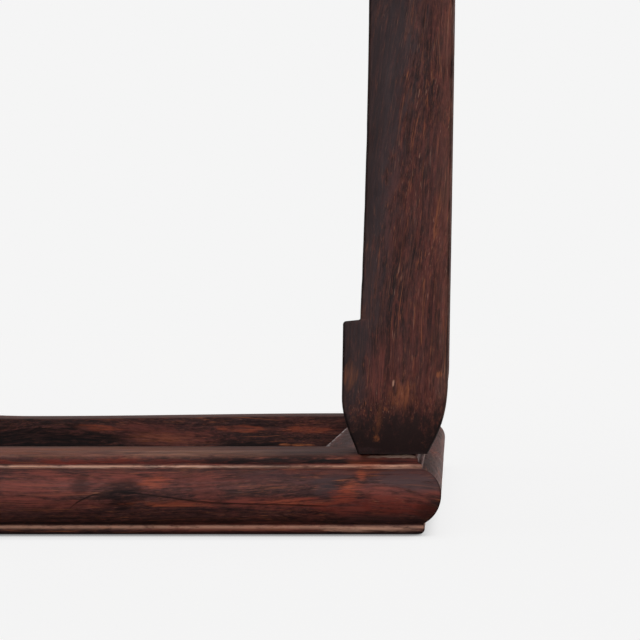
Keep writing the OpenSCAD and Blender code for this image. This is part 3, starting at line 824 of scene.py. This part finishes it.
# The marks that the photograph shows, some of them painted light and shade,
# as paint, middle, half size and strength, on the front piece
FRONT_RAIL_MARKS = (
    (RED_BROWN, (18, -216, 25), (26, 10, 9), 0.8),
    (RED_BROWN, (75, -218, 28), (60, 8, 4), 0.5),
    (INK, (39, -219, 26), (5, 8, 4), 0.65),
    (INK, (62, -219, 24.5), (9, 8, 4.4), 0.8),
    (INK, (60, -217, 18.5), (13, 8, 4.5), 0.85),
    (ORANGE, (88, -217, 16.8), (24, 8, 1.8), 0.55),
    (ORANGE, (76, -219, 27.5), (8, 8, 3.5), 0.35),
    (RED_BROWN, (131, -217, 17.2), (40, 8, 3.2), 0.9),
    (ORANGE, (148, -218, 17), (20, 8, 1.8), 0.4),
    (SLATE, (163, -219, 24), (7, 8, 5), 0.6),
    (SLATE, (140, -215, 30), (26, 8, 3), 0.45),
    (ORANGE, (180, -219, 31), (3.4, 8, 3), 0.55),
    (ORANGE, (174.5, -219, 25), (5.5, 8, 3), 0.55),
    (RUST, (172, -218, 20.5), (7.5, 8, 4.5), 0.8),
    (ORANGE, (172, -218, 20.5), (6, 8, 3.5), 0.35),
    (RED_BROWN, (190, -219, 24), (14, 8, 2.8), 0.8),
    (RED_BROWN, (200, -218, 20), (22, 8, 4), 0.8),
    (RED_BROWN, (190, -216, 14), (34, 8, 5), 0.6),
    (RUST, (186, -217, 16), (36, 8, 6), 0.5),
    (RED_BROWN, (104, -218, 23), (9, 8, 3.5), 0.5),
    (RED_BROWN, (56, -216, 30.5), (12, 8, 3), 0.5),
    (RED_BROWN, (14, -217, 17), (18, 8, 3), 0.4),
    (RED_BROWN, (175, -216, 12.5), (8, 8, 3), 0.5),
    (BROWN, (187, -215, 8.5), (17, 8, 2.5), 0.75),
    (MAUVE, (166, -214, 30.5), (11, 8, 3.2), 0.6),
    (MAUVE, (206, -215, 28.5), (21, 12, 5.5), 1.0),
    (MAUVE, (212, -218, 25.5), (12, 8, 3), 0.6),
    (RED_BROWN, (213, -217, 20.8), (7, 8, 3), 0.7),
    (INK, (216, -218, 13), (8, 8, 5), 0.5),
    (RUST, (95, -208.4, 36.4), (150, 2.4, 1.6), 0.8),
    (RUST, (195, -208.4, 36.6), (30, 2.4, 1.6), 0.7),
    (BROWN, (140, -210, 34.9), (34, 1.5, 1.2), 0.8),
    (INK, (137, -210.2, 34.8), (9, 1.5, 1.2), 0.5),
    (INK, (143, -208, 36.9), (58, 3, 1.7), 1.0),
    (DUSK, (153, -207.4, 39.3), (22, 2, 1.1), 0.7),
    # Painted light and shade on the top face: lighter towards its front, darker at its back
    (TAN, (100, -198, 41), (44, 12, 3), 0.22),
    (INK, (5, -160, 41), (50, 5, 3), 0.8),
    (SLATE, (165, -184, 41), (52, 28, 3), 0.35),
    # Painted highlights along the bead, over its wear
    (PALE, (30, -210.3, 34.3), (110, 1.2, 0.6), 0.4),
    (TAN, (194, -210.2, 34.6), (24, 1.6, 1.2), 0.4),
    (INK, (188, -208, 36.9), (30, 1.6, 0.5), 0.5),
    (ORANGE, (182, -208.5, 37.5), (9, 5, 4.5), 0.35),
    (BROWN, (211, -210, 34.8), (6, 2, 2), 0.7),
    # Painted light on the crown's slope in the foot's shadow, where its arris is also worn
    (RED_BROWN, (196, -207.8, 38.7), (24, 1.6, 1.1), 0.8),
    (PALE, (202, -207.6, 40), (22, 2.2, 1.2), 1.0),
    (PALE, (203, -207.6, 40.4), (19, 2.2, 1.4), 1.0),
    # A painted highlight on the plinth, and painted shade along its top edge under the nose
    (TAN, (184, -211.6, 2.4), (21, 1.8, 1.6), 0.55),
    (BROWN, (186, -211.6, 4.9), (26, 1.6, 0.8), 0.5),
    (TAN, (142, -157, 41), (10, 1.2, 1.2), 0.9),
    (INK, (138, -204, 41), (50, 10, 4), 0.5),
    (OCHRE, (30, -180, 41), (100, 28, 3), 0.3),
)
LEG_MARKS = (
    (SLATE, (170, -220, 200), (15, 40, 300), 0.85),
    (RED_BROWN, (209, -220, 190), (13, 40, 150), 0.35),
    (RED_BROWN, (193, -220, 85), (12, 12, 22), 0.3),
    (OCHRE, (207, -222, 158), (1.2, 8, 20), 0.4),
    # Painted shade along the leg's left arris
    (INK, (163, -220, 200), (13, 40, 300), 0.25),
    (OCHRE, (201, -222, 71), (6, 8, 8), 0.38),
    (OCHRE, (173.5, -222, 81), (3.5, 8, 6), 0.4),
    (INK, (190, -220, 88), (30, 8, 22), 0.15),
    (RED_BROWN, (187, -222, 80), (4, 8, 16), 0.35),
    (OCHRE, (218.3, -222, 81.3), (1.4, 8, 1.6), 0.6),
    (DUSK, (200, -220, 44), (44, 20, 20), 0.95),
    (RED_BROWN, (189, -222, 162), (8, 12, 24), 0.25),
    (OCHRE, (190.5, -222, 57), (2, 8, 8), 0.25),
    (OCHRE, (191.2, -222, 48.6), (2.2, 8, 2.2), 0.5),
    (TAN, (196, -222, 77), (0.6, 8, 1.8), 0.5),
    (MAUVE, (186, -214, 43.4), (8, 6, 1.2), 0.5),
)
BACK_RAIL_MARKS = (
    (RED_BROWN, (-20, -157, 26), (34, 6, 7), 0.6),
    (INK, (78, -157, 24), (80, 8, 11), 1.0),
    (RED_BROWN, (5, -157, 33), (26, 6, 3), 0.5),
    (ORANGE, (31, -157, 32.5), (14, 6, 2.5), 0.45),
    (ORANGE, (-72, -157, 31.5), (18, 6, 2.4), 0.5),
    (ORANGE, (-118, -157, 31), (20, 6, 2.2), 0.45),
    (OCHRE, (-12, -157, 25), (24, 6, 4), 0.25),
    (INK, (-76, -157, 19.6), (32, 6, 3.4), 0.95),
    (OCHRE, (-103, -157, 20), (3.5, 6, 0.8), 0.9),
    (OCHRE, (-113, -157, 19.8), (4, 6, 0.8), 0.9),
    (OCHRE, (-121, -157, 19.6), (3, 6, 0.8), 0.9),
)
RIGHT_RAIL_MARKS = (
    (SLATE, (0, -180, 41), (250, 34, 5), 0.6),
    # A painted highlight along the inner arris
    (ASH, (-65, -157.3, 41), (120, 1.6, 1.6), 1.0),
    # Painted shade on the crown's end at the mitre corner, against its grey sheen
    (DUSK, (-203, -207.8, 38), (8, 2, 3), 0.6),
    # Painted shade over the bead and the upper nose
    (INK, (-140, -212, 35), (95, 5.5, 6), 0.6),
    # Painted light and shade on the crown's end at the mitre corner
    (RED_BROWN, (-206, -206.5, 38), (9, 3, 3.5), 0.7),
    (BROWN, (-182, -209.6, 34.8), (36, 1.8, 1.6), 0.9),
)
MARKS = {"base_rail_front": FRONT_RAIL_MARKS,
         "base_rail_right": RIGHT_RAIL_MARKS,
         "base_rail_back": BACK_RAIL_MARKS,
         "leg_front_right": LEG_MARKS}

# Thin veins, as paint, half thickness, strength and path. They show only in front of VEIN_DEPTH
VEIN_DEPTH = -200
CRACK = ((32, 12), (36, 16), (42, 19.5), (49, 21.8), (58, 22.4), (70, 21.5), (84, 19.7), (100, 17.6),
         (121, 16.6), (148, 15.9), (168, 15))
VEINS = {"base_rail_front": ((INK, 0.5, 0.85, CRACK),)}

# How red and how dark a piece's board is, how light its arrises wore and its painted highlights show,
# and how light its pores are
BOARDS = {"base": (0.55, 0.5, 0.85, 0.1),
          "leg": (0.5, 0.47, 0.12, 0.25),
          "apron": (0.55, 0.4, 0.5, 0.1),
          "waist": (0.2, 0.8, 0.4, 0.1),
          "top": (0.5, 0.45, 0.7, 0.1),
          "batten": (0.3, 0.6, 0.3, 0.1)}


def turn_of(node):
    """How many quarter turns take a front piece to this one. The battens lie from front to back."""
    kind, place = node.replace("rail_", "").split("_", 1)
    if kind == "batten":
        return 1
    for places in (SIDES, LEGS):
        if place in places:
            return places.index(place)
    return 0


for number, (node, piece) in enumerate(sorted(pieces.items())):
    kind = node.split("_")[0]
    k = turn_of(node)
    grain, lean = ("z", LEG_LEAN) if kind == "leg" else ("x", 0.0)
    marks, veins = MARKS.get(node, ()), VEINS.get(node, ())
    piece.data.materials.clear()
    piece.data.materials.append(rosewood(node, k, grain, number * 3 + 2, lean, BOARDS[kind], marks, veins))
pin_finish = bamboo("bamboo_pins")
for node in ("base_pins", "top_pins"):
    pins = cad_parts[node]
    for slot in pins.material_slots:
        slot.material = pin_finish


# Stage

# The camera is level and square to the front, and aims past the leg at about ankle height
IMAGE = 640
AIM_X, AIM_Y = 452, 331.5
FOCAL = 1630
SENSOR = 36
CAMERA_NEAR = 815
CAMERA_RIGHT = 5.35
CAMERA_HIGH = 102.8
lens = bpy.data.cameras.new("camera")
lens.sensor_width = SENSOR
lens.lens = FOCAL / IMAGE * SENSOR
lens.shift_x = 0.5 - AIM_X / IMAGE
lens.shift_y = AIM_Y / IMAGE - 0.5
lens.clip_start, lens.clip_end = 0.01, 200
place = Vector((BASE_HALF + CAMERA_RIGHT, -BASE_HALF - CAMERA_NEAR, CAMERA_HIGH)) * MM
bpy.context.scene.camera = add_object("camera", lens, place, (math.pi / 2, 0, 0))

# A pale glowing floor as bright as the background, with only a faint painted shadow
PAPER = 0.913
FLOOR_GLOW = 0.854
CONTACT = 0.022
CONTACT_DARK = 0.2
CREVICE = 0.009
CREVICE_DARK = 0.85
SHADE_FROM = (0.35, 0.75, 0.56)
FLOOR_HALF = 40
FLOOR_GREY = (0.15, 0.15, 0.15, 1)
GLOW_TINT = (0.998, 1, 1.002, 1)
mesh = bpy.data.meshes.new("floor")
corners = [(sx * FLOOR_HALF, sy * FLOOR_HALF, 0) for sx, sy in ((-1, -1), (1, -1), (1, 1), (-1, 1))]
mesh.from_pydata(corners, [], [(0, 1, 2, 3)])
floor = add_object("floor", mesh)
floor.visible_diffuse = False
floor.visible_glossy = False
material, n, shader = new_material("floor")
shader.inputs["Base Color"].default_value = FLOOR_GREY
shader.inputs["Roughness"].default_value = 1.0
shader.inputs["Specular IOR Level"].default_value = 0.0
shader.inputs["Emission Color"].default_value = GLOW_TINT
# Occlusion darkens its glow near the stand as a painted shadow, looking back and right, so most of it falls
# in front
shade_from = n.make("CombineXYZ", {i: part for i, part in enumerate(SHADE_FROM)})
free = n.make("AmbientOcclusion", {"Distance": CONTACT, "Normal": shade_from}, output=1, samples=8)
near = n.make("AmbientOcclusion", {"Distance": CREVICE, "Normal": shade_from}, output=1, samples=8)
glow = n.ramp(free, 0, 1, FLOOR_GLOW * (1 - CONTACT_DARK), FLOOR_GLOW)
glow = n.math("MULTIPLY", glow, n.ramp(near, 0, 1, 1 - CREVICE_DARK, 1))
n.tree.links.new(glow, shader.inputs["Emission Strength"])
mesh.materials.append(material)
floor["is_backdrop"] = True

# Broad soft suns that light the stand alone, as name, strength, width, height and direction in degrees
LIGHTS = (("key", 1.35, 40, 38, -24),
          ("low", 1.1, 20, 4, 8),
          ("fill", 0.85, 60, 70, 150),
          ("side", 2.0, 40, 25, 82),
          ("rear", 0.8, 50, 25, 238))
lit = bpy.data.collections.new("lit")
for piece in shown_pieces():
    lit.objects.link(piece)
for name, energy, angle, high, around in LIGHTS:
    sun = bpy.data.lights.new(name, "SUN")
    sun.energy = energy
    sun.angle = math.radians(angle)
    lamp = add_object(name, sun, (0, 0, 3), (math.radians(90 - high), 0, math.radians(around)))
    lamp.light_linking.receiver_collection = lit

# The sky brightens upwards, and the camera sees it as plain paper
SCREEN = 1.8
SKY_TINT = (1, 0.955, 0.92, 1)
WHITE = (1, 1, 1, 1)
world = bpy.data.worlds.new("studio")
bpy.context.scene.world = world
world.use_nodes = True
n = Nodes(world.node_tree)
background = world.node_tree.nodes["Background"]
east, north, up = n.parts(n.make("TexCoord", {}, output=0))
sky = n.ramp(up, -0.1, 0.55, 0.06, 0.42)
# A bright screen stands low behind the right side
screen = n.math("MULTIPLY", n.ramp(east, 0.25, 0.45), n.ramp(north, 0, 0.4, 0, SCREEN))
sky = n.math("ADD", sky, n.math("MULTIPLY", screen, n.ramp(up, 0.35, 0.15)))
camera_ray = n.make("LightPath", {}, output=0)
level = n.make("Mix", {0: camera_ray, 2: sky, 3: PAPER}, output=0, data_type="FLOAT")
n.tree.links.new(level, background.inputs["Strength"])
warm = n.blend(camera_ray, SKY_TINT, WHITE)
n.tree.links.new(warm, background.inputs["Color"])
bpy.context.scene.view_settings.view_transform = "Standard"
